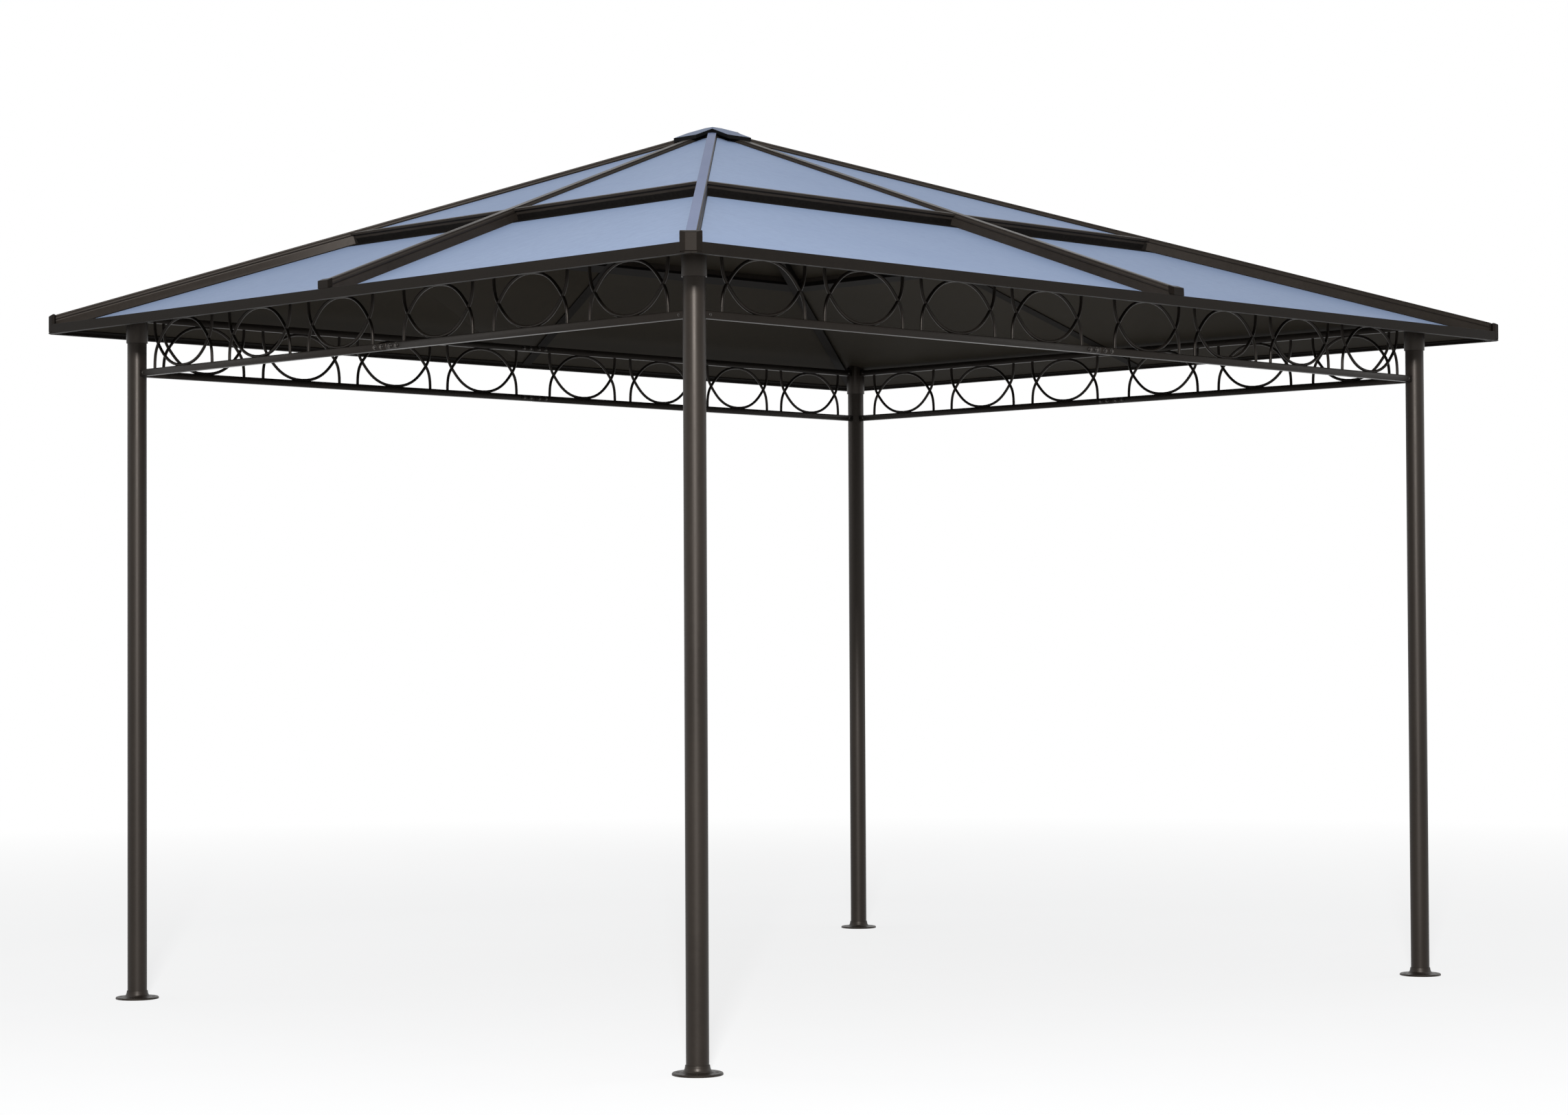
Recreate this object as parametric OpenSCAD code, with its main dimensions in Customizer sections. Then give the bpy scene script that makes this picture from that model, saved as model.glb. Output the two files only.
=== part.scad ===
// Metal gazebo with a two-tier panel roof, open on all four sides.
// Millimetres, +Z up, floor at Z = 0, X along the long side, origin at the plan centre.

/* [Frame] */
// Distance between post axes along the long side
post_spacing_x = 3434; // [2600:1:4600]
// Distance between post axes along the short side
post_spacing_y = 2687; // [2000:1:3600]
// Diameter of the round posts
post_d = 63; // [40:1:100]
// Clear height under the friezes
headroom = 2050; // [1900:1:2400]
// Post tops below the top of the friezes
post_short = 12; // [8:1:40]
// Outer diameter of the round collar on each post
collar_d = 70; // [66:1:110]
// Underside of the post collars below the top of the friezes
collar_drop = 93; // [60:1:140]

/* [Feet] */
// Diameter of the round foot flanges
flange_d = 140; // [110:1:220]
// Thickness of the flange plate under the post
flange_t = 6; // [4:1:15]
// Height of the flange's collar
flange_h = 26; // [12:1:60]
// Pitch circle of the anchor holes
anchor_pcd = 106; // [90:1:170]
// Diameter of the anchor holes
anchor_d = 11; // [8:1:14]
// Number of anchor holes in a flange
anchor_count = 4; // [3:1:6]

/* [Friezes] */
// Section of the square frieze rails
rail = 22; // [16:1:40]
// Height of the frieze over both rails
frieze_h = 204; // [150:1:300]
// Thickness of the ornament bars
bar_t = 10; // [5:1:14]
// Width of a unit where its two curves cross
oval_w = 294; // [200:1:340]
// Width of a unit at the ends of its curves
unit_w = 334; // [240:1:380]
// Post axis to the first curve's end
first_bar = 99; // [60:1:160]
// Unit pitch on the long sides
pitch_long = 403; // [340:1:480]
// Unit pitch on the short sides
pitch_short = 420; // [340:1:480]
// Units in half a long side
units_long = 4; // [2:1:6]
// Units in half a short side
units_short = 3; // [2:1:5]

/* [Roof] */
// Overhang of the eave beyond the post axes along X
overhang_x = 216; // [120:1:400]
// Overhang of the eave beyond the post axes along Y
overhang_y = 216; // [120:1:400]
// Gap between the friezes and the lowest rafter above them
roof_clear = 2; // [1:1:30]
// Height of the eave fascia's outer face
fascia_h = 31; // [31:1:60]
// Depth of the eave fascia
fascia_t = 20; // [12:1:40]
// Rise of the roof planes from the fascia's top to the apex
roof_rise = 657; // [400:1:900]
// Apex position along X
apex_x = -183; // [-400:1:400]
// Apex position along Y
apex_y = 187; // [-400:1:400]
// Where the front and back rafters meet the eave, along X
mid_x = 131; // [-300:1:300]
// Where the side rafters meet the eave, along Y
mid_y = 38; // [-300:1:300]
// Share of the slope under the lower tier
tier_share = 0.456; // [0.3:0.001:0.7]
// Thickness of the roof panels
panel_t = 4; // [2:0.5:6]
// Upper panels' top above the roof planes
upper_rise = 7; // [4:1:16]
// Lower panels' top below the roof planes
lower_sink = 22; // [8:1:22]

/* [Rafters] */
// Width of a hip rafter
hip_w = 32; // [26:1:60]
// Hip rafter's top above the fold of the slopes
hip_top = 20; // [18:1:40]
// Hip rafter's underside below the fold of the slopes
hip_low = 42; // [36:1:70]
// Width of a mid rafter
mid_w = 42; // [24:1:60]
// Mid rafter's top above the roof planes
mid_top = 20; // [18:1:45]
// Mid rafter's underside below the roof planes
mid_low = 30; // [30:1:50]
// Depth of a tier purlin along the slope
purlin_w = 46; // [30:1:80]
// Radius of the hub at the apex
hub_r = 80; // [70:1:120]
// Height of the hub below the apex of the roof planes
hub_drop = 70; // [50:1:120]
// Span of the plus-shaped apex cap
cap_span = 260; // [200:2:340]
// Width of the apex cap's arms
cap_arm = 110; // [80:2:160]
// Thickness of the apex cap
cap_t = 12; // [4:1:20]

/* [Hidden] */

// Heights that follow the top of the friezes
frieze_top = headroom + frieze_h;
post_top = frieze_top - post_short;
collar_low = frieze_top - collar_drop;
// Half distances between posts, and half sizes of the eave
post_x = post_spacing_x / 2;
post_y = post_spacing_y / 2;
eave_x = post_x + overhang_x;
eave_y = post_y + overhang_y;
// Plan runs and overhangs of the four slopes, and the eave height at which their rafters clear the friezes
runs = [eave_y + apex_y, eave_x - apex_x, eave_y - apex_y, eave_x + apex_x];
overs = [overhang_y, overhang_x, overhang_y, overhang_x];
function needed(i, r) = mid_low * sqrt(1 + r * r) - (overs[i] - rail / 2) * r;
eave_z = frieze_top + roof_clear + max([for (i = [0:3]) needed(i, roof_rise / runs[i])]);
fascia_low = eave_z - fascia_h;
apex = [apex_x, apex_y, eave_z + roof_rise];

// Gap between round faces that fit together
slip = 0.3;
// Underside of the lower panels below the roof planes
lower_low = lower_sink + panel_t;
// Large length for half spaces
far = 6000;
// Lip of the fascia in front of the panels' edge
lip = 4;
// Overlap of the ornament with the rails
bite = 3;
// Steps in each quarter of a curve
arc_n = 6;
// Corner caps: chamfer, side facet and reach inward, in plan
cap_chamfer = 23;
cap_facet = 20;
cap_reach = 6;
cap_drop = 27;
// Rafter end caps' extra width and height
end_extra = 3;
end_rise = 3;
// Purlin: ledge under the lower panels, front wall, flap on the lower panels, nose along the top
ledge = 18;
wall = 6;
flap = 30;
flap_t = 2;
nose = 8;
trim_top = min(mid_top, hip_top) - 2;
// Flat tops of the hub and the apex cap
hub_flat = apex.z + mid_top - 3;
cap_flat = hub_flat + cap_t - 2;

corners = [[-1, -1], [1, -1], [1, 1], [-1, 1]];

function unit(v) = v / norm(v);
function side(i) = (i + 4) % 4;
function corner(i) = [corners[side(i)].x * eave_x, corners[side(i)].y * eave_y, eave_z];
function along(i) = unit(corner(i + 1) - corner(i));
function foot(i) = corner(i) + along(i) * ((apex - corner(i)) * along(i));
function up(i) = unit(apex - foot(i));
function out(i) = cross(along(i), up(i));
function inward(i) = cross([0, 0, 1], along(i));
function slope_len(i) = norm(apex - foot(i));
function left_run(i) = (foot(i) - corner(i)) * along(i);
function right_run(i) = (corner(i + 1) - foot(i)) * along(i);
function run(i) = (apex - foot(i)) * inward(i);
function mid_point(i) = side(i) % 2 == 0 ? [mid_x, foot(i).y, eave_z] : [foot(i).x, mid_y, eave_z];
function mid_run(i) = (mid_point(i) - foot(i)) * along(i);
function hip_dir(i) = unit(apex - corner(i));
function hip_mean(i) = unit(out(i) + out(i - 1));
function hip_up(i) = unit(hip_mean(i) - hip_dir(i) * (hip_mean(i) * hip_dir(i)));
function hip_side(i) = cross(hip_up(i), hip_dir(i));
function frame(a, b, c, o) = [[a.x, b.x, c.x, o.x], [a.y, b.y, c.y, o.y], [a.z, b.z, c.z, o.z], [0, 0, 0, 1]];
function post_at(i) = [corners[i].x * post_x, corners[i].y * post_y, 0];

// Children laid in slope i: x along the eave, y up the slope, z out of it
module on_slope(i) multmatrix(frame(along(i), up(i), out(i), foot(i))) children();

// Children laid on the hip of corner i: x up the hip, z out of the roof
module on_hip(i) multmatrix(frame(hip_dir(i), hip_side(i), hip_up(i), corner(i))) children();

// Space under all four slopes, offset by d
module under_roof(d) {
    intersection_for(i = [0:3])
        on_slope(i) translate([-far, -far, d - far]) cube([2 * far, 2 * far, far]);
}

// Space inside the fascias
module inside_fascia() {
    translate([fascia_t - eave_x, fascia_t - eave_y, 0])
        cube([2 * (eave_x - fascia_t), 2 * (eave_y - fascia_t), far]);
}

// Space inside the outer faces of the fascias
module inside_eave() {
    translate([-eave_x, -eave_y, 0]) cube([2 * eave_x, 2 * eave_y, far]);
}

// Bar of a hip rafter, past the corner at its low end
module hip_bar(i, w, low, high) {
    on_hip(i) translate([-150, -w / 2, low])
        cube([norm(apex - corner(i)) + 150, w, high - low]);
}

// Bar of a mid rafter, past the eave at its low end
module mid_bar(i, w, low, high) {
    on_slope(i) translate([mid_run(i), 0, 0])
        rotate([0, 0, atan2(slope_len(i), -mid_run(i))])
        translate([-150, -w / 2, low])
        cube([norm([slope_len(i), mid_run(i)]) + 150, w, high - low]);
}

// Post with its top inside the collar
module post(i) {
    color([0.20, 0.18, 0.17])
        translate(post_at(i) + [0, 0, flange_t]) cylinder(h = post_top - flange_t, d = post_d, $fn = 64);
}

// Round foot flange with a swept collar and anchor holes
module flange(i) {
    bore = post_d / 2 + slip;
    rim = flange_d / 2;
    color([0.22, 0.20, 0.18])
        translate(post_at(i)) difference() {
            rotate_extrude($fn = 64) polygon([[0, 0], [rim, 0], [rim, 4], [rim - 2, flange_t],
                [bore + 16, flange_t + 1], [bore + 9, flange_t + 3], [bore + 5, flange_t + 7],
                [bore + 3, flange_t + 13], [bore + 2, flange_h], [bore, flange_h], [bore, flange_t], [0, flange_t]]);
            for (k = [0:anchor_count - 1])
                rotate([0, 0, 45 + 360 * k / anchor_count])
                translate([anchor_pcd / 2, 0, -1]) cylinder(h = 40, d = anchor_d, $fn = 24);
        }
}

// Round collar on the post, cut to the underside of the hip rafter and of the panels
module collar(i) {
    color([0.17, 0.155, 0.145])
        difference() {
            intersection() {
                translate(post_at(i) + [0, 0, collar_low])
                    cylinder(h = 2 * collar_drop, d = collar_d, $fn = 64);
                under_roof(-lower_low - 1);
            }
            translate(post_at(i) + [0, 0, collar_low - 1])
                cylinder(h = post_top - collar_low + 1, d = post_d + 2 * slip, $fn = 64);
            on_hip(i) translate([-far / 4, -far / 4, -hip_low]) cube([far, far / 2, far / 4]);
        }
}

// Point on a bezier arc
function arc(p, t) = pow(1 - t, 3) * p[0] + 3 * t * pow(1 - t, 2) * p[1]
    + 3 * t * t * (1 - t) * p[2] + pow(t, 3) * p[3];

// Centre line of half a curve: down from the top rail, over the crossing, to the middle of the bottom rail
function half_curve(h) = let (c = (oval_w - bar_t) / 2, e = (unit_w - bar_t) / 2, b = bar_t / 2 - h)
    concat([for (k = [0:arc_n]) arc([[e, h], [e, h / 2], [c + 0.19 * h, 0.25 * h], [c, 0]], k / arc_n)],
        [for (k = [1:arc_n]) arc([[c, 0], [c - 0.35 * h, -0.46 * h], [c * 0.55, b], [0, b]], k / arc_n)]);
function curve(h) = let (p = half_curve(h), n = len(p))
    concat(p, [for (k = [n - 2:-1:0]) [-p[k].x, p[k].y]]);
function beside(p, k) = let (d = unit(p[min(k + 1, len(p) - 1)] - p[max(k - 1, 0)])) [-d.y, d.x] * bar_t / 2;

// One bent bar, drawn in X and Y
module bent_bar(h) {
    p = curve(h);
    n = len(p);
    polygon(concat([for (k = [0:n - 1]) p[k] + beside(p, k)], [for (k = [n - 1:-1:0]) p[k] - beside(p, k)]));
}

// A bent bar and its mirror image, which cross at both sides
module ornament(half_h) {
    bent_bar(half_h + bite);
    mirror([0, 1]) bent_bar(half_h + bite);
}

// Frieze of half length l, made of two halves that meet in the middle
module frieze(l, count, pitch) {
    gap_h = frieze_h - 2 * rail;
    low_end = l - post_d / 2 - slip;
    top_end = l - collar_d / 2 - slip;
    color([0.19, 0.17, 0.16]) {
        for (s = [-1, 1]) {
            translate([s > 0 ? 0 : -low_end, -rail / 2, headroom]) cube([low_end, rail, rail]);
            translate([s > 0 ? 0 : -top_end, -rail / 2, headroom + frieze_h - rail]) cube([top_end, rail, rail]);
            for (k = [0:count - 1])
                translate([s * (l - first_bar - unit_w / 2 - k * pitch), bar_t / 2, headroom + frieze_h / 2])
                rotate([90, 0, 0]) linear_extrude(height = bar_t) ornament(gap_h / 2);
        }
    }
}

// Eave fascia of side i before the corner caps are cut out
module fascia_run(i) {
    l = norm(corner(i + 1) - corner(i));
    rise = roof_rise / run(i);
    under = lower_low * sqrt(1 + rise * rise);
    intersection() {
        multmatrix(frame(inward(i), [0, 0, 1], along(i), corner(i)))
            linear_extrude(height = l) polygon([[0, -fascia_h], [fascia_t, -fascia_h],
                [fascia_t, fascia_t * rise - under], [lip, lip * rise - under], [lip, 0], [0, 0]]);
        multmatrix(frame(along(i), inward(i), [0, 0, 1], corner(i)))
            translate([0, 0, -2 * fascia_h]) linear_extrude(height = 4 * fascia_h)
            polygon([[0, 0], [l, 0], [l - fascia_t, fascia_t], [fascia_t, fascia_t]]);
    }
}

// Space of the corner cap of corner i, seen in plan, between two heights
module corner_block(i, low, high) {
    c = cap_chamfer;
    f = cap_chamfer + cap_facet;
    translate([corner(i).x, corner(i).y, low])
        rotate([0, 0, 90 * i]) linear_extrude(height = high - low)
        polygon([[c, 0], [f, 0], [f + cap_reach, cap_reach], [cap_reach, f + cap_reach], [0, f], [0, c]]);
}

// Everything in front of the corner caps' chamfers
module corner_tip(i) {
    translate([corner(i).x, corner(i).y, fascia_low - 50])
        rotate([0, 0, 90 * i]) linear_extrude(height = 400)
        polygon([[-20, -20], [cap_chamfer + 20, -20], [-20, cap_chamfer + 20]]);
}

module fascia(i) {
    color([0.21, 0.19, 0.175]) difference() {
        fascia_run(i);
        corner_block(i, eave_z - cap_drop, eave_z + 200);
        corner_block(i + 1, eave_z - cap_drop, eave_z + 200);
        corner_tip(i);
        corner_tip(i + 1);
    }
}

module hip(i) {
    color([0.23, 0.205, 0.19]) difference() {
        intersection() {
            hip_bar(i, hip_w, -hip_low, hip_top);
            inside_fascia();
        }
        corner_block(i, fascia_low - 50, eave_z + 200);
        translate([apex.x, apex.y, 0]) cylinder(h = far, r = hub_r + slip, $fn = 64);
    }
}

module mid_rafter(i) {
    color([0.23, 0.205, 0.19]) difference() {
        intersection() {
            mid_bar(i, mid_w, -mid_low, mid_top);
            inside_fascia();
        }
        translate([apex.x, apex.y, 0]) cylinder(h = far, r = hub_r + slip, $fn = 64);
    }
}

// Outlines in slope i between two heights y0 and y1, left and right of its mid rafter
function left_of(i, y0, y1) = let (s = 1 - y0 / slope_len(i), t = 1 - y1 / slope_len(i))
    [[-left_run(i) * s, y0], [mid_run(i) * s, y0], [mid_run(i) * t, y1], [-left_run(i) * t, y1]];
function right_of(i, y0, y1) = let (s = 1 - y0 / slope_len(i), t = 1 - y1 / slope_len(i))
    [[mid_run(i) * s, y0], [right_run(i) * s, y0], [right_run(i) * t, y1], [mid_run(i) * t, y1]];

// Plates of slope i between two heights, clear of the rafters, hub and corner caps
module plates(i, y0, y1, low, high) {
    difference() {
        on_slope(i) translate([0, 0, low]) {
            linear_extrude(height = high - low) polygon(left_of(i, y0, y1));
            linear_extrude(height = high - low) polygon(right_of(i, y0, y1));
        }
        hip_bar(i, hip_w, -hip_low - 20, hip_top + 20);
        hip_bar(i + 1, hip_w, -hip_low - 20, hip_top + 20);
        mid_bar(i, mid_w, -mid_low - 20, mid_top + 20);
        translate([apex.x, apex.y, 0]) cylinder(h = far, r = hub_r + slip, $fn = 64);
        corner_block(i, eave_z - cap_drop, eave_z + 200);
        corner_block(i + 1, eave_z - cap_drop, eave_z + 200);
        corner_tip(i);
        corner_tip(i + 1);
    }
}

function tier_y(i) = tier_share * slope_len(i);

// Low edge of the lower panels, behind the fascia's lip
function panel_edge(i) = lip * slope_len(i) / run(i) + lower_sink * roof_rise / run(i);

module lower_panels(i) {
    color([0.56, 0.62, 0.72])
        plates(i, panel_edge(i), tier_y(i), -lower_low, -lower_sink);
}

module upper_panels(i) {
    color([0.56, 0.62, 0.72])
        plates(i, tier_y(i), slope_len(i) - 1, upper_rise - panel_t, upper_rise);
}

// Purlin at the joint of the two tiers: ledge, body, and a front wall with a flap below and a nose above
module purlin(i) {
    y = tier_y(i);
    color([0.17, 0.155, 0.145]) {
        plates(i, y - ledge, y, -mid_low, -lower_low);
        plates(i, y, y + purlin_w - ledge, -mid_low, upper_rise - panel_t);
        plates(i, y - wall, y, -lower_sink, trim_top);
        plates(i, y - wall - flap, y - wall, -lower_sink, flap_t - lower_sink);
        plates(i, y - wall - nose, y - wall, trim_top - nose, trim_top);
    }
}

// Caps on the low ends of the hip rafters
module corner_end_caps() {
    color([0.24, 0.215, 0.20])
        for (i = [0:3]) intersection() {
            corner_block(i, eave_z - cap_drop, eave_z + 200);
            on_hip(i) translate([-200, -200, hip_top + 1 - 400]) cube([600, 400, 400]);
        }
}

// Caps on the low ends of the mid rafters, standing on the fascia
module rafter_end_caps() {
    color([0.24, 0.215, 0.20])
        for (i = [0:3]) difference() {
            intersection() {
                union() {
                    mid_bar(i, mid_w, -lower_low, mid_top + end_rise);
                    mid_bar(i, mid_w + 2 * end_extra, 0, mid_top + end_rise);
                }
                inside_eave();
            }
            inside_fascia();
            fascia_run(i);
        }
}

// Space under a flat at height z
module under(z) translate([-far / 2, -far / 2, z - far]) cube(far);

// Hub that takes the rafters' top ends
module apex_hub() {
    color([0.14, 0.13, 0.12]) intersection() {
        translate([apex.x, apex.y, apex.z - hub_drop]) cylinder(h = 2 * hub_drop, r = hub_r, $fn = 64);
        under_roof(mid_top);
        under(hub_flat);
    }
}

// Plus-shaped cap folded over the slopes, flat on top
module apex_cap() {
    color([0.25, 0.225, 0.21]) difference() {
        intersection() {
            under_roof(mid_top + cap_t);
            under(cap_flat);
            union() {
                translate([apex.x - cap_span / 2, apex.y - cap_arm / 2, eave_z]) cube([cap_span, cap_arm, far / 4]);
                translate([apex.x - cap_arm / 2, apex.y - cap_span / 2, eave_z]) cube([cap_arm, cap_span, far / 4]);
            }
        }
        intersection() {
            under_roof(mid_top);
            under(hub_flat);
        }
    }
}

module frieze_x(i) translate([0, i == 0 ? -post_y : post_y, 0]) frieze(post_x, units_long, pitch_long);
module frieze_y(i) translate([i == 1 ? post_x : -post_x, 0, 0]) rotate([0, 0, 90])
    frieze(post_y, units_short, pitch_short);

post(0);  // post_front_left
post(1);  // post_front_right
post(2);  // post_back_right
post(3);  // post_back_left
flange(0);  // flange_front_left
flange(1);  // flange_front_right
flange(2);  // flange_back_right
flange(3);  // flange_back_left
collar(0);  // collar_front_left
collar(1);  // collar_front_right
collar(2);  // collar_back_right
collar(3);  // collar_back_left
frieze_x(0);  // frieze_front
frieze_y(1);  // frieze_right
frieze_x(2);  // frieze_back
frieze_y(3);  // frieze_left
fascia(0);  // fascia_front
fascia(1);  // fascia_right
fascia(2);  // fascia_back
fascia(3);  // fascia_left
hip(0);  // hip_front_left
hip(1);  // hip_front_right
hip(2);  // hip_back_right
hip(3);  // hip_back_left
mid_rafter(0);  // mid_rafter_front
mid_rafter(1);  // mid_rafter_right
mid_rafter(2);  // mid_rafter_back
mid_rafter(3);  // mid_rafter_left
purlin(0);  // purlin_front
purlin(1);  // purlin_right
purlin(2);  // purlin_back
purlin(3);  // purlin_left
lower_panels(0);  // lower_panels_front
lower_panels(1);  // lower_panels_right
lower_panels(2);  // lower_panels_back
lower_panels(3);  // lower_panels_left
upper_panels(0);  // upper_panels_front
upper_panels(1);  // upper_panels_right
upper_panels(2);  // upper_panels_back
upper_panels(3);  // upper_panels_left
corner_end_caps();
rafter_end_caps();
apex_hub();
apex_cap();
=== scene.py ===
"""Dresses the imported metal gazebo: friezes, rafters, bolts, eave seals, finishes, light and camera."""

import math
from itertools import product

import bpy
from mathutils import Matrix, Vector


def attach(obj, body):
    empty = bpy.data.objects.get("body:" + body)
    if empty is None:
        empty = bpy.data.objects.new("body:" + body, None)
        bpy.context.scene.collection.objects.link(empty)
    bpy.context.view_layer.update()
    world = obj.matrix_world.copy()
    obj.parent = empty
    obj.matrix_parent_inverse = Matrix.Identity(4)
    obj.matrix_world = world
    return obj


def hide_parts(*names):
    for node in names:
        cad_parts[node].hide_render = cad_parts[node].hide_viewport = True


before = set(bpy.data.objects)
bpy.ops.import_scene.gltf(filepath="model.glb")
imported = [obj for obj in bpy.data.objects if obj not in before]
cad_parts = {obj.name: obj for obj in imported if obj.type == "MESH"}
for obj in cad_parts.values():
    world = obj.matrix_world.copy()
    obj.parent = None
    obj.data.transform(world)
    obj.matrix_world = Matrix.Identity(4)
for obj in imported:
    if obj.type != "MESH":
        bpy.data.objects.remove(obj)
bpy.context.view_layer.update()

# Sizes of the frame, in metres, as the solids have them
SLIP = 0.0003
POST_X, POST_Y, POST_D = 1.717, 1.3435, 0.063
COLLAR = 0.070
HEADROOM, RAIL, FRIEZE_H, BAR = 2.050, 0.022, 0.204, 0.010
RAIL_BOTTOMS = (HEADROOM, HEADROOM + FRIEZE_H - RAIL)
OVAL_W, UNIT_W, FIRST_BAR = 0.294, 0.334, 0.099
LONG_UNITS, LONG_PITCH = 4, 0.403
SHORT_UNITS, SHORT_PITCH = 3, 0.420
OVERHANG, FASCIA_T = 0.216, 0.020
EAVE_X, EAVE_Y, EAVE_Z = POST_X + OVERHANG, POST_Y + OVERHANG, 2.2239
ROOF_RISE, TIER_SHARE = 0.657, 0.456
APEX = Vector((-0.183, 0.187, EAVE_Z + ROOF_RISE))
TIER_Z = EAVE_Z + ROOF_RISE * TIER_SHARE
HUB_R = 0.080 + SLIP
MID_X, MID_Y = 0.131, 0.038
CAP_IN = 0.0277
SIDES = ("front", "right", "back", "left")
CORNERS = ("front_left", "front_right", "back_right", "back_left")
SIGNS = (-1, 1)

# Rafters and the lower panels' underside, with heights from the roof planes
HIP_W, HIP_LOW, HIP_TOP = 0.032, -0.042, 0.020
MID_W, MID_LOW, MID_TOP = 0.042, -0.030, 0.020
PANEL_LOW = -0.026

# Sides as the friezes use them: name, half length, units on each half, their pitch, and the frieze's place
QUARTER_TURN = Matrix.Rotation(math.pi / 2, 4, "Z")
ROWS = (
    ("front", POST_X, LONG_UNITS, LONG_PITCH, Matrix.Translation((0, -POST_Y, 0))),
    ("back", POST_X, LONG_UNITS, LONG_PITCH, Matrix.Translation((0, POST_Y, 0))),
    ("right", POST_Y, SHORT_UNITS, SHORT_PITCH, Matrix.Translation((POST_X, 0, 0)) @ QUARTER_TURN),
    ("left", POST_Y, SHORT_UNITS, SHORT_PITCH, Matrix.Translation((-POST_X, 0, 0)) @ QUARTER_TURN))

# Bent bars: how far their ends sink into the rails, and their handles as shares of the bar's size
BAR_SINK = 0.003
END_PULL, ROUND_PULL = 0.50, 0.55
CROSS_OUT_X, CROSS_OUT_Z = 0.19, 0.25
CROSS_IN_X, CROSS_IN_Z = 0.35, 0.46
RAIL_ROUND, HALF_SEAM = 0.0022, 0.0004

# Bolts: sizes, and places from the middle of a rail and from its end
HEAD_R, HEAD_H, HEAD_RIM, HEAD_CROWN = 0.0058, 0.0036, 0.0012, 0.0006
WASHER_R, WASHER_H = 0.0082, 0.0012
HEAD_SIDES, WASHER_SIDES = 6, 16
HEAD_EDGE, WASHER_EDGE, BOLT_SINK = 0.0005, 0.0004, 0.0001
INNER_BOLT, OUTER_BOLT = 0.021, 0.052
END_BOLT_IN, END_BOLT_SIZE = 0.016, 0.55

# Rafter profile, in depths under the rafter's top, and the height below which its flanks get painted shade
COVER_H, COVER_IN = 0.0045, 0.0020
BEAD_LOW, BEAD_ROUND = 0.0165, 0.0042
GROOVE_LOW, GROOVE_DEEP = 0.0205, 0.0032
DARK_BELOW = -0.0245
RAFTER_SPARE, RAFTER_EDGE = 0.06, 0.0008

# Limits for picking: how near a point has to lie, and how squarely a face has to face
NEAR, FACING = 0.0004, 0.9

# Eave seals, under the lower panels
SEAL_END, SEAL_WIDE, SEAL_T, SEAL_GAP = 0.044, 0.024, 0.003, 0.0002
SEAL_TOP = PANEL_LOW - SEAL_GAP
SEAL_LOW = SEAL_TOP - SEAL_T
SEAL_EDGE = 0.0006

# Edges of the solids that stay: the least angle of a rounded edge, in general and at the apex, in degrees
EDGE_ANGLE, APEX_EDGE_ANGLE = 25, 9
MERGE_REACH = 0.00005

# Colours, most of them as a darker and a lighter shade
FRAME_BROWN = (0.0066, 0.0049, 0.0037, 1.0), (0.0104, 0.0078, 0.0060, 1.0)
IRON_BROWN = (0.0046, 0.0037, 0.0030, 1.0), (0.0082, 0.0066, 0.0054, 1.0)
TRIM_BROWN = (0.0058, 0.0048, 0.0040, 1.0), (0.0098, 0.0082, 0.0068, 1.0)
# A lighter copy of the frame's brown: painted light on the rafters' sides
LIT_RAFTER_BROWN = (0.0150, 0.0122, 0.0100, 1.0), (0.0245, 0.0202, 0.0168, 1.0)
# Near black: painted shade on the rafters' low flanks and the apex hub, and the eave seals' own colour
SHADED_BROWN = (0.005, 0.0043, 0.0038, 1.0), (0.009, 0.0078, 0.0068, 1.0)
# Painted light on the tier step's nose, and painted shade, near black, below it
PAINTED_LIT_NOSE_BROWN = (0.0200, 0.0165, 0.0138, 1.0), (0.0310, 0.0258, 0.0216, 1.0)
PAINTED_SHADE_BLACK = (0.0035, 0.003, 0.0028, 1.0), (0.0065, 0.0058, 0.0052, 1.0)
CAP_BROWN = (0.0050, 0.0039, 0.0031, 1.0), (0.0090, 0.0071, 0.0057, 1.0)
# Grey blue of the sheets' tops: partly coat, partly painted sky reflection
SHEET_BLUE_AND_SKY = (0.218, 0.284, 0.424, 1.0), (0.248, 0.316, 0.458, 1.0)
SHEET_BROWN = (0.0150, 0.0124, 0.0088, 1.0), (0.0225, 0.0188, 0.0136, 1.0)
# Slate blue on the hips' top strip: partly coat, partly painted sky reflection
HIP_SLATE_AND_SKY = (0.112, 0.142, 0.240, 1.0), (0.142, 0.174, 0.280, 1.0)
# Apex cap: slate blue that is partly painted sky reflection, and painted shade, near black, at its edges
APEX_SLATE_AND_SKY = (0.125, 0.155, 0.235, 1.0), (0.165, 0.200, 0.285, 1.0)
ZINC = (0.045, 0.042, 0.040, 1.0), (0.095, 0.090, 0.086, 1.0)
FLOOR_WHITE = (0.90, 0.90, 0.90, 1.0), (0.94, 0.94, 0.94, 1.0)
APEX_SHADE_BLACK = (0.0040, 0.0042, 0.0046, 1.0)
COAT_DUST = (0.036, 0.031, 0.027, 1.0)
SHEET_SOIL = (0.190, 0.228, 0.302, 1.0)
CAP_CHALK = (0.070, 0.066, 0.068, 1.0)
SHINE = (1.0, 0.90, 0.82, 1.0)
SKY_BLUE = (0.93, 0.96, 1.0, 1.0)
WHITE = (1.0, 1.0, 1.0, 1.0)

# Ranges of a noise's values that are spread over the whole of a blend
BROAD, EVEN = (0.3, 0.7), (0.32, 0.68)

# Where finishes change: how far up a hip's strip and a sheet's top face, and the low edge of the nose's
# painted light above the painted shade
STRIP_UP, SHEET_UP = 0.93, 0.35
NOSE_EDGE = (TIER_Z - 0.0055, TIER_Z - 0.0035)

# Depths of the fine bumps
PEEL_DEEP, SKIN_DEEP = 0.0006, 0.0008

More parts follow.
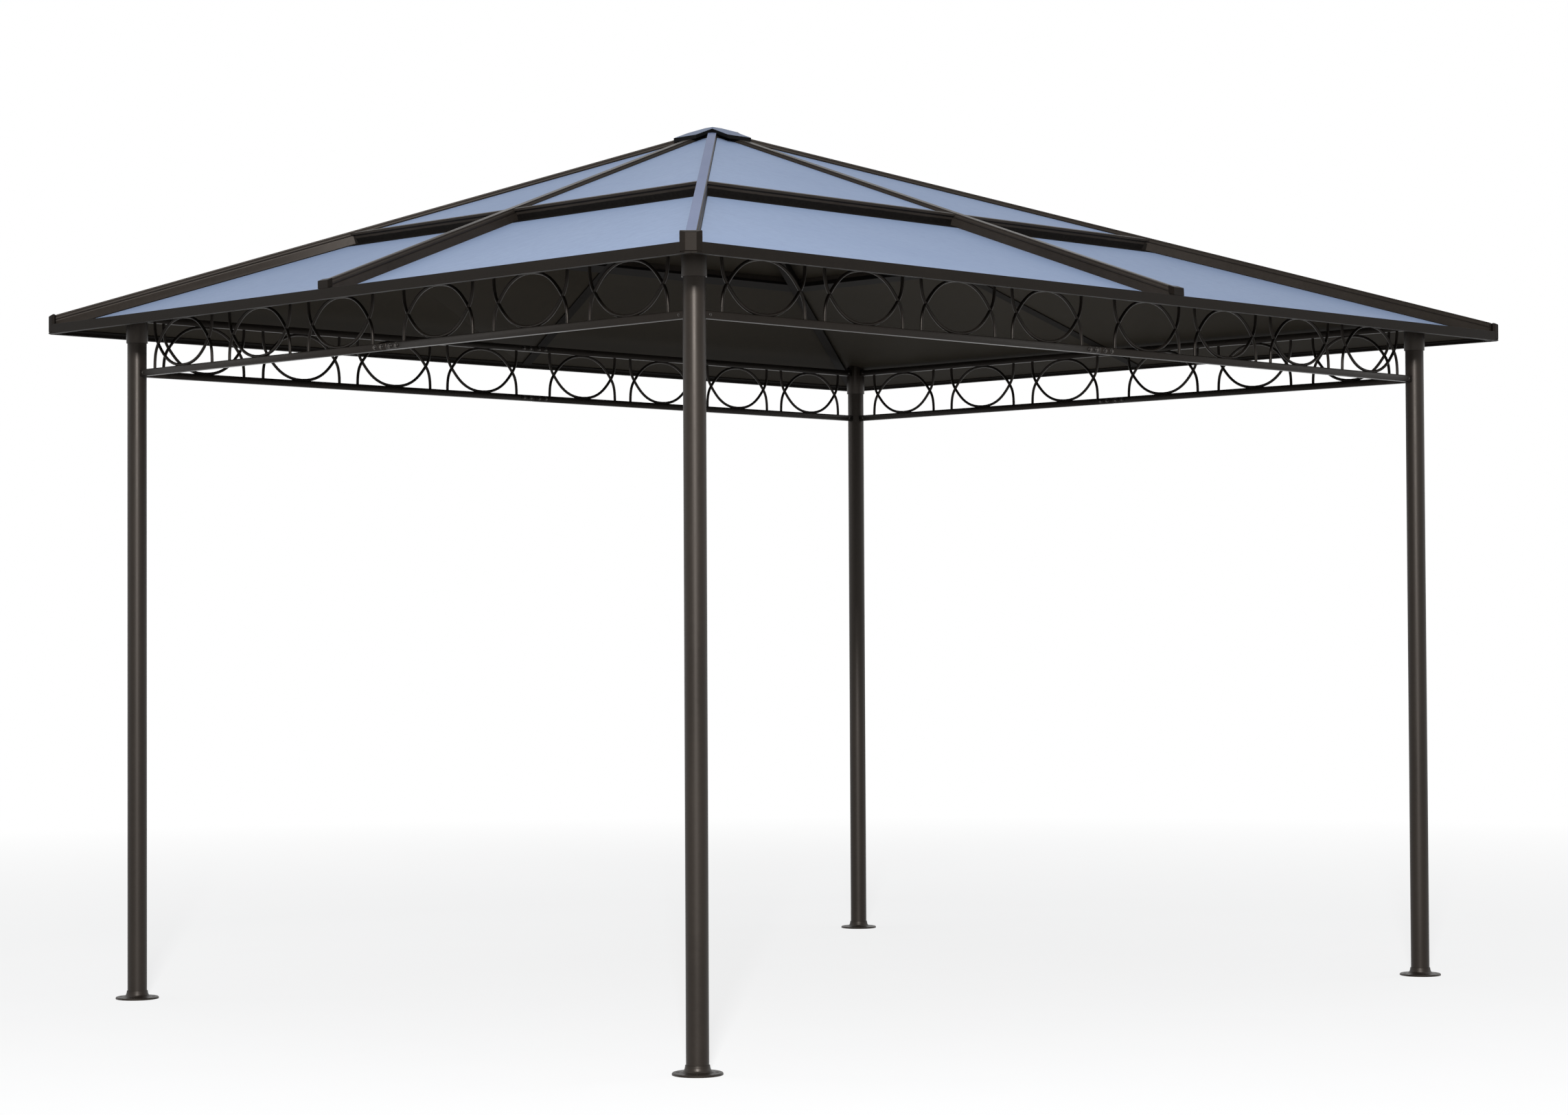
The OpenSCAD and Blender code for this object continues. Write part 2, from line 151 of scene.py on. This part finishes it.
# Lamps: name, place, aim, size and power
LAMPS = (
    ("key", (-8.6, -8.3, 4.75), (0, 0, 1.8), 0.9, 1700),
    ("top", (0.0, 0.0, 9.0), (0, 0, 2.5), 5.0, 50),
    ("left", (-7.0, 8.0, 5.0), (0, 0, 1.6), 4.0, 70),
    ("right", (9.0, -5.0, 5.0), (0, 0, 1.6), 4.0, 70))
SKY_POWER = 0.34

# Floor, and the distances from the middle between which it turns white to the eye
FLOOR_SIZE = 160.0
FADE_REACH, FADE_SHARE = (3.5, 10.0), (0.74, 1.0)

# The photograph's camera, solved from the posts and rails: angles in degrees, sizes of the photo in pixels
YAW, PITCH, ROLL = 44.91, 1.347, -0.291
CAMERA_PLACE = Vector((-7.712, -7.698, 1.1915))
FOCAL_PIXELS, PHOTO_PIXELS = 4689.8, 2284
SENSOR = 36.0
VIEW_END = 300.0


# Shader helpers

class Tone:
    """One output of a finish's node tree; plain arithmetic on it adds the nodes."""

    def __init__(self, finish, socket):
        self.finish = finish
        self.socket = socket

    def _math(self, operation, first, second):
        return self.finish.node("ShaderNodeMath", {"operation": operation}, {0: first, 1: second})

    def __add__(self, other):
        return self._math("ADD", self, other)

    def __sub__(self, other):
        return self._math("SUBTRACT", self, other)

    def __rsub__(self, other):
        return self._math("SUBTRACT", other, self)

    def __mul__(self, other):
        return self._math("MULTIPLY", self, other)

    def __gt__(self, other):
        return self._math("GREATER_THAN", self, other)

    def at_least(self, other):
        return self._math("MAXIMUM", self, other)


class Finish:
    """A material, or the world, that is built node by node."""

    def __init__(self, name, holder=None):
        self.holder = holder or bpy.data.materials.new(name)
        self.holder.use_nodes = True
        self.tree = self.holder.node_tree
        self.tree.nodes.clear()

    def node(self, kind, settings=None, inputs=None, out=0):
        """A new node's output. An input that is a tone is linked, and any other is set."""
        made = self.tree.nodes.new(kind)
        for key, value in (settings or {}).items():
            setattr(made, key, value)
        for key, value in (inputs or {}).items():
            if isinstance(value, Tone):
                self.tree.links.new(value.socket, made.inputs[key])
            else:
                made.inputs[key].default_value = value
        return Tone(self, made.outputs[out]) if made.outputs else None

    def spot(self):
        """Object coordinates."""
        return self.node("ShaderNodeTexCoord", out="Object")

    def noise(self, scale, detail, rough, where=None):
        return self.node("ShaderNodeTexNoise", inputs={
            "Vector": where or self.spot(), "Scale": scale, "Detail": detail, "Roughness": rough})

    def blend(self, factor, low, high):
        return self.node("ShaderNodeMix", {"data_type": "RGBA"}, {0: factor, 6: low, 7: high}, out=2)

    def span(self, value, source, target=(0.0, 1.0)):
        """The value taken from one range to another and kept inside it."""
        return self.node("ShaderNodeMapRange", {"clamp": True}, {
            0: value, 1: source[0], 2: source[1], 3: target[0], 4: target[1]})

    def sway(self, noise, amount, middle):
        """The middle value, moved up and down by the noise."""
        return (noise - 0.5) * amount + middle

    def upward(self):
        """How far the surface faces up, from -1 to 1."""
        normal = self.node("ShaderNodeNewGeometry", out="Normal")
        return self.node("ShaderNodeSeparateXYZ", inputs={0: normal}, out="Z")

    def bump(self, height, strength, distance=PEEL_DEEP):
        return self.node("ShaderNodeBump", inputs={
            "Strength": strength, "Distance": distance, "Height": height}, out="Normal")

    def coat(self, colour, roughness, normal=None, metallic=0.0, specular=0.5):
        """A surface shader."""
        inputs = {"Base Color": colour, "Roughness": roughness, "Metallic": metallic,
                  "Specular IOR Level": specular, "Specular Tint": SHINE}
        if normal:
            inputs["Normal"] = normal
        return self.node("ShaderNodeBsdfPrincipled", inputs=inputs)

    def shows_background(self):
        """1 where the camera, a reflection or a see-through part looks at the background."""
        camera, glossy, through = (self.node("ShaderNodeLightPath", out=ray) for ray in (
            "Is Camera Ray", "Is Glossy Ray", "Is Transmission Ray"))
        return camera.at_least(glossy).at_least(through)

    def done(self, shader, end="ShaderNodeOutputMaterial"):
        """The material or the world, with this shader as its surface."""
        self.node(end, inputs={"Surface": shader})
        return self.holder


# Finishes

def powder_coat(name, shades, gloss, specular):
    """Satin powder coat: fine orange peel, faint clouding, a little dust where it faces up."""
    f = Finish(name)
    cloud = f.noise(scale=2.3, detail=4.0, rough=0.6)
    grain = f.noise(scale=60.0, detail=3.0, rough=0.6)
    peel = f.noise(scale=520.0, detail=2.0, rough=0.5)
    colour = f.blend(f.span(cloud * 0.75 + grain * 0.25, EVEN), *shades)
    dusty = f.span(f.upward(), (0.55, 1.0), (0.0, 0.22)) * f.span(grain, (0.35, 0.75), (0.2, 1.0))
    colour = f.blend(dusty, colour, COAT_DUST)
    rough = f.sway(grain, 0.10, f.span(cloud, BROAD, (gloss - 0.05, gloss + 0.07)))
    return f.done(f.coat(colour, rough, f.bump(peel, strength=0.10), specular=specular))


def hip_cover():
    """Hip rafter cover: ribbed sides in a lighter brown painted as lit, under a slate-blue top strip that is
    partly the cover's coat and partly painted sky reflection.
    """
    f = Finish("hip_cover")
    cloud = f.noise(scale=2.6, detail=4.0, rough=0.6)
    grain = f.noise(scale=70.0, detail=3.0, rough=0.6)
    peel = f.noise(scale=480.0, detail=2.0, rough=0.5)
    tint = f.span(cloud * 0.7 + grain * 0.3, EVEN)
    # Faces that look up get the slate blue with its painted sky reflection
    strip = f.upward() > STRIP_UP
    colour = f.blend(strip, f.blend(tint, *LIT_RAFTER_BROWN), f.blend(tint, *HIP_SLATE_AND_SKY))
    rough = f.sway(grain, 0.12, strip * 0.08 + 0.40)
    return f.done(f.coat(colour, rough, f.bump(peel, strength=0.08), specular=0.08))


def tier_trim():
    """Tier step: painted light, a lighter brown along the nose at the top, over painted shade, near black, on
    the seal and flap below it.
    """
    f = Finish("tier_trim")
    spot = f.spot()
    height = f.node("ShaderNodeSeparateXYZ", inputs={0: spot}, out="Z")
    cloud = f.noise(scale=4.0, detail=4.0, rough=0.6, where=spot)
    grain = f.noise(scale=90.0, detail=3.0, rough=0.6, where=spot)
    ripple = f.noise(scale=26.0, detail=3.0, rough=0.5, where=spot)
    brown = f.blend(f.span(cloud, BROAD), *PAINTED_LIT_NOSE_BROWN)
    black = f.blend(f.span(grain, BROAD), *PAINTED_SHADE_BLACK)
    # Painted light on the nose above this edge, painted shade below it
    nose = f.span(f.sway(ripple, 0.004, height), NOSE_EDGE)
    rough = f.sway(grain, 0.12, 0.62 - nose * 0.2)
    return f.done(f.coat(f.blend(nose, black, brown), rough, f.bump(grain, strength=0.08), specular=0.06))


def roof_sheet():
    """Coated roof sheet: grey-blue on top, partly its coat and partly painted sky reflection, with faint
    soiling; dark brown below and at its edges.
    """
    f = Finish("roof_sheet")
    spot = f.spot()
    cloud = f.noise(scale=1.1, detail=4.0, rough=0.55, where=spot)
    fine = f.noise(scale=34.0, detail=4.0, rough=0.6, where=spot)
    grit = f.noise(scale=420.0, detail=2.0, rough=0.5, where=spot)
    soil = f.span(fine * 0.6 + cloud * 0.4, (0.50, 0.72), (0.0, 0.16))
    blue = f.blend(soil, f.blend(f.span(cloud, BROAD), *SHEET_BLUE_AND_SKY), SHEET_SOIL)
    brown = f.blend(f.span(cloud * 0.6 + fine * 0.4, (0.35, 0.68)), *SHEET_BROWN)
    skin = f.bump(grit * 0.5 + fine * 0.5, strength=0.06, distance=SKIN_DEEP)
    over = f.coat(blue, f.sway(fine, 0.12, 0.52), skin, specular=0.06)
    under = f.coat(brown, f.sway(fine, 0.12, 0.66), skin, specular=0.05)
    # Top faces get the grey blue with its painted sky reflection, the rest brown
    return f.done(f.node("ShaderNodeMixShader", inputs={0: f.upward() > SHEET_UP, 1: under, 2: over}))


def moulded_cap():
    """Moulded brown cap: fine grain, slightly chalked on top."""
    f = Finish("moulded_cap")
    cloud = f.noise(scale=9.0, detail=3.0, rough=0.55)
    grain = f.noise(scale=300.0, detail=2.0, rough=0.5)
    colour = f.blend(f.span(cloud, BROAD), *CAP_BROWN)
    chalk = f.span(f.upward(), (0.4, 1.0), (0.0, 0.25)) * f.span(cloud, (0.35, 0.7), (0.3, 1.0))
    colour = f.blend(chalk, colour, CAP_CHALK)
    return f.done(f.coat(colour, f.sway(cloud, 0.16, 0.48), f.bump(grain, strength=0.12), specular=0.06))


def apex_finish():
    """Apex cap: slate-blue on top, partly its coat and partly painted sky reflection, and near-black painted
    shade at its edges.
    """
    f = Finish("apex_finish")
    cloud = f.noise(scale=12.0, detail=3.0, rough=0.55)
    grain = f.noise(scale=280.0, detail=2.0, rough=0.5)
    slate = f.blend(f.span(cloud, BROAD), *APEX_SLATE_AND_SKY)
    # Painted shade, near black, on faces that look less upward
    colour = f.blend(f.span(f.upward(), (0.55, 0.75)), APEX_SHADE_BLACK, slate)
    return f.done(f.coat(colour, f.sway(cloud, 0.16, 0.46), f.bump(grain, strength=0.10), specular=0.03))


def zinc_bolt():
    """Zinc-plated fastener."""
    f = Finish("zinc_bolt")
    cloud = f.noise(scale=160.0, detail=3.0, rough=0.6)
    colour = f.blend(f.span(cloud, BROAD), *ZINC)
    return f.done(f.coat(colour, f.span(cloud, BROAD, (0.30, 0.46)), metallic=1.0))


frame_coat = powder_coat("frame_coat", FRAME_BROWN, gloss=0.42, specular=0.31)
ironwork = powder_coat("ironwork_coat", IRON_BROWN, gloss=0.36, specular=0.16)
trim = powder_coat("trim_coat", TRIM_BROWN, gloss=0.50, specular=0.06)
lit_rafter_coat = powder_coat("lit_rafter_coat", LIT_RAFTER_BROWN, gloss=0.38, specular=0.12)
painted_shade_and_seal = powder_coat("dark_trim_coat", SHADED_BROWN, gloss=0.60, specular=0.03)
hip_skin = hip_cover()
step = tier_trim()
apex_skin = apex_finish()
sheet = roof_sheet()
caps = moulded_cap()
bolts = zinc_bolt()


# Modelling helpers

def start(name):
    """The object that was just added or joined, with its name."""
    piece = bpy.context.object
    piece.name = name
    piece.data.name = name
    return piece


def clear():
    """Leaves edit mode with nothing selected."""
    if bpy.context.object and bpy.context.object.mode != "OBJECT":
        bpy.ops.object.mode_set(mode="OBJECT")
    bpy.ops.object.select_all(action="DESELECT")


def only(*pieces):
    """Selects these pieces alone, with the first one active."""
    clear()
    for piece in pieces:
        piece.select_set(True)
    bpy.context.view_layer.objects.active = pieces[0]


def delete(piece):
    only(piece)
    bpy.ops.object.delete()


def edit(piece):
    """Opens the piece in edit mode with everything selected."""
    only(piece)
    bpy.ops.object.mode_set(mode="EDIT")
    bpy.ops.mesh.select_all(action="SELECT")


def leave_edit():
    bpy.ops.object.mode_set(mode="OBJECT")


def settle(piece):
    """Puts the piece's place into its mesh."""
    only(piece)
    bpy.ops.object.transform_apply(location=True, rotation=True, scale=True)


def join(name, pieces):
    only(*pieces)
    bpy.ops.object.join()
    piece = start(name)
    settle(piece)
    return piece


def soften(piece, width, segments=2, angle=35):
    """Rounds the piece's edges."""
    only(piece)
    mod = piece.modifiers.new("round", "BEVEL")
    mod.width = width
    mod.segments = segments
    mod.limit_method = "ANGLE"
    mod.angle_limit = math.radians(angle)
    bpy.ops.object.modifier_apply(modifier="round")


def smooth(piece, angle):
    only(piece)
    bpy.ops.object.shade_smooth_by_angle(angle=math.radians(angle))


def paint(piece, material):
    """Gives the piece its finish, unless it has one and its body."""
    if not piece.data.materials:
        piece.data.materials.append(material)
    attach(piece, "root")


def pick_faces(piece, test):
    """In edit mode, leaves only the faces selected whose centre and normal pass the test."""
    bpy.ops.mesh.select_all(action="DESELECT")
    bpy.ops.object.mode_set(mode="OBJECT")
    for face in piece.data.polygons:
        face.select = test(face.center, face.normal)
    bpy.ops.object.mode_set(mode="EDIT")
    bpy.ops.mesh.select_mode(type="FACE")


def pick_edges(piece, test):
    """In edit mode, leaves only the edges selected whose two ends pass the test."""
    bpy.ops.mesh.select_all(action="DESELECT")
    bpy.ops.mesh.select_mode(type="EDGE")
    bpy.ops.object.mode_set(mode="OBJECT")
    points = piece.data.vertices
    for line in piece.data.edges:
        line.select = all(test(points[k].co) for k in line.vertices)
    bpy.ops.object.mode_set(mode="EDIT")


def cut_line(place, across):
    """In edit mode, adds a line of edges where the plane crosses the piece."""
    bpy.ops.mesh.select_all(action="SELECT")
    bpy.ops.mesh.bisect(plane_co=place, plane_no=across)


def trim_off(piece, cut):
    """Cuts off what lies past each plane, given as (place, direction away from the piece)."""
    for plane_co, plane_no in cut:
        edit(piece)
        bpy.ops.mesh.bisect(plane_co=plane_co, plane_no=plane_no, clear_outer=True, use_fill=True)
        leave_edit()


def block(name, low, high):
    """A box between two corners."""
    clear()
    bpy.ops.mesh.primitive_cube_add(size=1.0)
    piece = start(name)
    low, high = Vector(low), Vector(high)
    piece.scale = high - low
    piece.location = (low + high) / 2
    settle(piece)
    return piece


def disc(name, sides, radius, height, low):
    """An upright cylinder that starts at the height low."""
    clear()
    bpy.ops.mesh.primitive_cylinder_add(
        vertices=sides, radius=radius, depth=height, location=(0, 0, low + height / 2))
    piece = start(name)
    settle(piece)
    return piece


def copy_of(piece, matrix):
    """A copy with its own mesh, moved by the matrix."""
    only(piece)
    bpy.ops.object.duplicate(linked=False)
    twin = bpy.context.object
    twin.matrix_world = matrix @ twin.matrix_world
    settle(twin)
    return twin


def bar_along(name, points, radius):
    """A round bar along bezier points given as (place, handle before, handle after)."""
    clear()
    bpy.ops.curve.primitive_bezier_curve_add()
    piece = start(name)
    spline = piece.data.splines[0]
    spline.bezier_points.add(len(points) - len(spline.bezier_points))
    spline.resolution_u = 10
    for knot, (place, before, after) in zip(spline.bezier_points, points):
        knot.handle_left_type = knot.handle_right_type = "FREE"
        knot.co = place
        knot.handle_left = Vector(place) + Vector(before)
        knot.handle_right = Vector(place) + Vector(after)
    piece.data.dimensions = "3D"
    piece.data.bevel_depth = radius
    piece.data.bevel_resolution = 3
    piece.data.use_fill_caps = True
    only(piece)
    bpy.ops.object.convert(target="MESH")
    return bpy.context.object


def axes(x, z, origin):
    """A matrix with these X and Z axes."""
    return Matrix.Translation(origin) @ Matrix((x, z.cross(x), z)).transposed().to_4x4()


# Friezes

def ornament():
    """One unit: a bent bar and its mirror image that cross at both sides, in X and Z about the origin."""
    high = FRIEZE_H / 2 - RAIL + BAR_SINK
    end, cross = (UNIT_W - BAR) / 2, (OVAL_W - BAR) / 2
    out_x, in_x, pull = CROSS_OUT_X * high, CROSS_IN_X * high, ROUND_PULL * cross
    bars = []
    for s in (1, -1):
        top = s * high
        down, out_z, in_z = (0, 0, -END_PULL * top), CROSS_OUT_Z * top, -CROSS_IN_Z * top
        bars.append(bar_along("bent_bar", [
            ((end, 0, top), (0, 0, 0), down),
            ((cross, 0, 0), (out_x, 0, out_z), (-in_x, 0, in_z)),
            ((0, 0, s * BAR / 2 - top), (pull, 0, 0), (-pull, 0, 0)),
            ((-cross, 0, 0), (in_x, 0, in_z), (-out_x, 0, out_z)),
            ((-end, 0, top), down, (0, 0, 0))], BAR / 2))
    return join("ornament", bars)


def rail_bar(name, low, high):
    bar = block(name, low, high)
    soften(bar, RAIL_ROUND)
    return bar


def frieze(side, half, units, pitch, place, unit):
    """Both halves of one side's frieze: rails, ornaments and the seam where the halves meet."""
    ends = (half - POST_D / 2 - SLIP, half - COLLAR / 2 - SLIP)
    parts = []
    for sign in SIGNS:
        for bottom, end in zip(RAIL_BOTTOMS, ends):
            x0, x1 = sorted((sign * HALF_SEAM, sign * end))
            parts.append(rail_bar("rail", (x0, -RAIL / 2, bottom), (x1, RAIL / 2, bottom + RAIL)))
        for k in range(units):
            x = sign * (half - FIRST_BAR - UNIT_W / 2 - k * pitch)
            parts.append(copy_of(unit, Matrix.Translation((x, 0, HEADROOM + FRIEZE_H / 2))))
    piece = join("frieze_" + side + "_ironwork", parts)
    piece.matrix_world = place
    settle(piece)
    smooth(piece, angle=50)
    paint(piece, ironwork)
    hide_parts("frieze_" + side)


def friezes():
    unit = ornament()
    for row in ROWS:
        frieze(*row, unit)
    delete(unit)


def bolt_head():
    """A hexagon head on its washer, standing up from the origin."""
    head = disc("head", HEAD_SIDES, HEAD_R, HEAD_H, WASHER_H - 2 * BOLT_SINK)
    edit(head)
    pick_faces(head, lambda c, n: n.z > FACING)
    bpy.ops.mesh.inset(thickness=HEAD_RIM, depth=HEAD_CROWN)
    leave_edit()
    soften(head, HEAD_EDGE, segments=1)
    washer = disc("washer", WASHER_SIDES, WASHER_R, WASHER_H, -BOLT_SINK)
    soften(washer, WASHER_EDGE, segments=1)
    return join("bolt_head", [washer, head])


def frieze_bolts():
    """Bolts at the middle joint of every rail and, smaller, where the rails meet the posts, on both faces."""
    head = bolt_head()
    parts = []
    for _, half, _, _, place in ROWS:
        end = half - COLLAR / 2 - END_BOLT_IN
        kinds = ((INNER_BOLT, 1.0), (OUTER_BOLT, 1.0), (end, END_BOLT_SIZE))
        for bottom, (x, size), sx, sy in product(RAIL_BOTTOMS, kinds, SIGNS, SIGNS):
            spot = Matrix.Translation((sx * x, sy * RAIL / 2, bottom + RAIL / 2))
            turn = Matrix.Rotation(-sy * math.pi / 2, 4, "X")
            parts.append(copy_of(head, place @ spot @ turn @ Matrix.Scale(size, 4)))
    delete(head)
    piece = join("frieze_bolts", parts)
    smooth(piece, angle=30)
    paint(piece, bolts)


# Rafters and eave seals

def corner(i):
    """Corner i of the eaves, counted from the front left one."""
    sx, sy = ((-1, -1), (1, -1), (1, 1), (-1, 1))[i % 4]
    return Vector((sx * EAVE_X, sy * EAVE_Y, EAVE_Z))


def slope_up(i):
    """Normal of slope i, out of the roof."""
    along = (corner(i + 1) - corner(i)).normalized()
    return along.cross(APEX - corner(i)).normalized()


def hub_cut(foot):
    """The plane where a rafter from this foot meets the apex hub."""
    away = APEX - foot
    away.z = 0
    away.normalize()
    return (tuple(APEX - away * HUB_R), tuple(away))


def fascia_cuts():
    """The planes of the fascias' inner faces."""
    x, y = EAVE_X - FASCIA_T, EAVE_Y - FASCIA_T
    return [((s * x, 0, 0), (s, 0, 0)) for s in SIGNS] + [((0, s * y, 0), (0, s, 0)) for s in SIGNS]


def rafter(name, foot, up, width, low, top, cut, cover):
    """A rafter with a cover strip on top, a bead and a groove along each side, and painted shade on its
    flanks below.
    """
    run = APEX - foot
    step_at = run.length * TIER_SHARE
    lip, bead, groove = top - COVER_H, top - BEAD_LOW, top - GROOVE_LOW
    bar = block(name, (-RAFTER_SPARE, -width / 2, low), (run.length, width / 2, lip))
    edit(bar)
    pick_faces(bar, lambda c, n: n.z > FACING)
    bpy.ops.mesh.inset(thickness=COVER_IN, depth=0.0)
    bpy.ops.mesh.extrude_region_move(TRANSFORM_OT_translate={"value": (0, 0, COVER_H)})
    for height in (bead, groove, DARK_BELOW):
        cut_line((0, 0, height), (0, 0, 1))
    cut_line((step_at, 0, 0), (1, 0, 0))
    for s in SIGNS:
        pick_faces(bar, lambda c, n: n.y * s > FACING and groove < c.z < bead)
        bpy.ops.mesh.extrude_region_move(TRANSFORM_OT_translate={"value": (0, -s * GROOVE_DEEP, 0)})
    pick_edges(bar, lambda v: abs(v.y) > width / 2 - NEAR and bead - NEAR < v.z < lip + NEAR)
    bpy.ops.mesh.bevel(offset=BEAD_ROUND, segments=3, affect="EDGES")
    bar.data.materials.append(cover)
    bar.data.materials.append(painted_shade_and_seal)
    bar.active_material_index = 1
    # Painted shade on the flanks near the panels, and below the groove past the tier step
    pick_faces(bar, lambda c, n: c.z < DARK_BELOW or (c.x > step_at and c.z < groove))
    bpy.ops.object.material_slot_assign()
    leave_edit()
    bar.matrix_world = axes(run.normalized(), up, foot)
    settle(bar)
    trim_off(bar, cut)
    soften(bar, RAFTER_EDGE, segments=1, angle=30)
    smooth(bar, angle=35)
    return bar


def hip_rafters():
    for i in range(4):
        foot = corner(i)
        run = (APEX - foot).normalized()
        mean = (slope_up(i) + slope_up(i - 1)).normalized()
        up = (mean - run * mean.dot(run)).normalized()
        sx, sy = math.copysign(1, foot.x), math.copysign(1, foot.y)
        inner = foot - Vector((sx * CAP_IN, sy * CAP_IN, 0))
        cut = fascia_cuts() + [hub_cut(foot), (tuple(inner), (sx, sy, 0))]
        piece = rafter("hip_cover_" + CORNERS[i], foot, up, HIP_W, HIP_LOW, HIP_TOP, cut, hip_skin)
        paint(piece, hip_skin)
        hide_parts("hip_" + CORNERS[i])


def mid_rafters():
    places = ((MID_X, -EAVE_Y), (EAVE_X, MID_Y), (MID_X, EAVE_Y), (-EAVE_X, MID_Y))
    for i, (x, y) in enumerate(places):
        foot = Vector((x, y, EAVE_Z))
        cut = fascia_cuts() + [hub_cut(foot)]
        piece = rafter("mid_cover_" + SIDES[i], foot, slope_up(i), MID_W, MID_LOW, MID_TOP, cut, lit_rafter_coat)
        paint(piece, lit_rafter_coat)
        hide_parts("mid_rafter_" + SIDES[i])


def eave_seals():
    """A thin seal under the low edge of the lower panels, against the inner face of each fascia."""
    parts = []
    for i in range(4):
        along = corner(i + 1) - corner(i)
        bar = block("seal", (SEAL_END, 0, SEAL_LOW), (along.length - SEAL_END, SEAL_WIDE, SEAL_TOP))
        bar.matrix_world = axes(along.normalized(), slope_up(i), corner(i))
        settle(bar)
        trim_off(bar, fascia_cuts())
        soften(bar, SEAL_EDGE, segments=1)
        parts.append(bar)
    piece = join("eave_seals", parts)
    smooth(piece, angle=35)
    paint(piece, painted_shade_and_seal)


# Solids that stay

def round_edges(solid, width, segments, angle):
    """Merges the solid's corners and rounds its edges, as modifiers."""
    weld = solid.modifiers.new("weld", "WELD")
    weld.merge_threshold = MERGE_REACH
    bevel = solid.modifiers.new("round", "BEVEL")
    bevel.width = width
    bevel.segments = segments
    bevel.limit_method = "ANGLE"
    bevel.angle_limit = math.radians(angle)
    bevel.harden_normals = True


def dress_solids():
    """Finishes and rounded edges on the solids that stay."""
    # First word of a node's name: its finish, and its edges' width, segments and least angle
    looks = {
        "post": (frame_coat, None),
        "flange": (frame_coat, None),
        "collar": (frame_coat, (0.0012, 2, EDGE_ANGLE)),
        "fascia": (trim, (0.0010, 2, EDGE_ANGLE)),
        "purlin": (step, (0.0012, 2, EDGE_ANGLE)),
        "lower": (sheet, (0.0008, 2, EDGE_ANGLE)),
        "upper": (sheet, (0.0008, 2, EDGE_ANGLE)),
        "corner": (caps, (0.0030, 2, EDGE_ANGLE)),
        "rafter": (caps, (0.0080, 3, EDGE_ANGLE)),
        "apex": (apex_skin, (0.0060, 3, APEX_EDGE_ANGLE))}
    for name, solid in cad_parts.items():
        kind = name.split("_")[0]
        if kind not in looks:
            continue
        finish, edges = looks[kind]
        solid.data.materials.clear()
        # The apex hub gets painted shade, near black, in the openings beside the hips
        solid.data.materials.append(painted_shade_and_seal if name == "apex_hub" else finish)
        if edges:
            round_edges(solid, *edges)


# Stage, light and camera

def pale_floor():
    """White to the eye far out, and matt near the part, where it keeps the shadow."""
    clear()
    bpy.ops.mesh.primitive_plane_add(size=FLOOR_SIZE, location=(0, 0, 0))
    floor = start("floor")
    f = Finish("pale_floor")
    spot = f.spot()
    reach = f.node("ShaderNodeVectorMath", {"operation": "LENGTH"}, {0: spot}, out="Value")
    cloud = f.noise(scale=3.0, detail=2.0, rough=0.5, where=spot)
    matt = f.node("ShaderNodeBsdfDiffuse", inputs={"Color": f.blend(cloud, *FLOOR_WHITE)})
    white = f.node("ShaderNodeEmission", inputs={"Color": WHITE, "Strength": 1.0})
    shown = f.span(reach, FADE_REACH, FADE_SHARE) * f.shows_background()
    floor.data.materials.append(f.done(f.node("ShaderNodeMixShader", inputs={0: shown, 1: matt, 2: white})))


def studio_sky():
    """Soft light from all round, with a white background."""
    sky = Finish("studio_sky", bpy.data.worlds.new("studio_sky"))
    soft = sky.node("ShaderNodeBackground", inputs={"Color": SKY_BLUE, "Strength": SKY_POWER})
    white = sky.node("ShaderNodeBackground", inputs={"Color": WHITE, "Strength": 1.0})
    both = sky.node("ShaderNodeMixShader", inputs={0: sky.shows_background(), 1: soft, 2: white})
    bpy.context.scene.world = sky.done(both, "ShaderNodeOutputWorld")


def lamps():
    for name, place, aim, size, power in LAMPS:
        bpy.ops.object.light_add(type="AREA", location=place)
        lamp = bpy.context.object
        lamp.name = name
        lamp.data.shape = "SQUARE"
        lamp.data.size = size
        lamp.data.energy = power
        lamp.rotation_euler = (Vector(aim) - Vector(place)).to_track_quat("-Z", "Y").to_euler()


def photo_camera():
    """The photograph's camera, at the place and turn that were solved."""
    yaw, pitch, roll = math.radians(YAW), math.radians(PITCH), math.radians(ROLL)
    ahead = Vector((math.sin(yaw) * math.cos(pitch), math.cos(yaw) * math.cos(pitch), math.sin(pitch)))
    right = Vector((math.cos(yaw), -math.sin(yaw), 0))
    across = right * math.cos(roll) + right.cross(ahead) * math.sin(roll)
    bpy.ops.object.camera_add()
    camera = bpy.context.object
    camera.name = "photo_camera"
    camera.data.sensor_width = SENSOR
    camera.data.lens = SENSOR * FOCAL_PIXELS / PHOTO_PIXELS
    camera.data.clip_end = VIEW_END
    camera.matrix_world = axes(across, -ahead, CAMERA_PLACE)
    bpy.context.scene.camera = camera


friezes()
frieze_bolts()
hip_rafters()
mid_rafters()
eave_seals()
dress_solids()
pale_floor()
studio_sky()
lamps()
photo_camera()
bpy.context.scene.view_settings.view_transform = "Standard"
